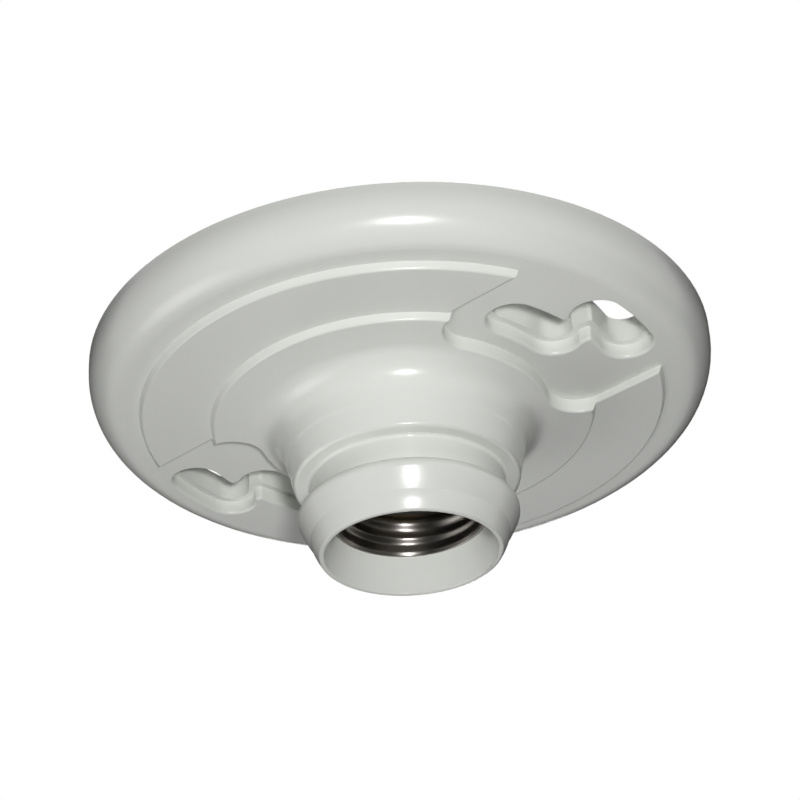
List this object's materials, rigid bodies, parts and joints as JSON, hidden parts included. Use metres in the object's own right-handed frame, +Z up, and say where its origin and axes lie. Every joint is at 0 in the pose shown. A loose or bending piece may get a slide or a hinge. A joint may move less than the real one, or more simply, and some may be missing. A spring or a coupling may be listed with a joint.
{
  "type": "keyless lampholder",
  "caption": "Round white moulded ceiling lampholder with a stepped plate, arc slots for box screws, a flared bell, a shade groove and a threaded lamp socket facing down.",
  "frame": {"origin": "centre of the back face that sits against the ceiling box", "axes": "+Z up to the ceiling, so the lamp leaves along -Z; +X to the right in the picture"},
  "size_m": [0.1142, 0.1142, 0.038],
  "materials": {
    "white_plastic": "glossy",
    "shell_metal": "bright",
    "brass": "bright",
    "plated_metal": "plated"
  },
  "bodies": {
    "holder": {"body": "white_plastic", "screw_shell": "shell_metal", "contact_rivet": "brass", "shell_rivets": "plated_metal", "hot_terminal": "brass", "neutral_terminal": "plated_metal"},
    "contact_tab": {"centre_contact": "brass"},
    "hot_terminal_screw": {"hot_screw": "brass"},
    "neutral_terminal_screw": {"neutral_screw": "plated_metal"}
  },
  "joints": [
    {"name": "contact_bend", "type": "hinge", "parent": "holder", "child": "contact_tab", "pos_m": [0.00274, 0.00332, -0.01285], "axis": [-0.7716, 0.6361, 0], "range_deg": [0, 15], "stiffness_Nm_per_rad": 0.12, "deforming": ["centre_contact"]},
    {"name": "hot_screw_slide", "type": "slide", "parent": "holder", "child": "hot_terminal_screw", "axis": [0, 0, 1], "range_m": [0, 0.003]},
    {"name": "neutral_screw_slide", "type": "slide", "parent": "holder", "child": "neutral_terminal_screw", "axis": [0, 0, 1], "range_m": [0, 0.003]}
  ]
}
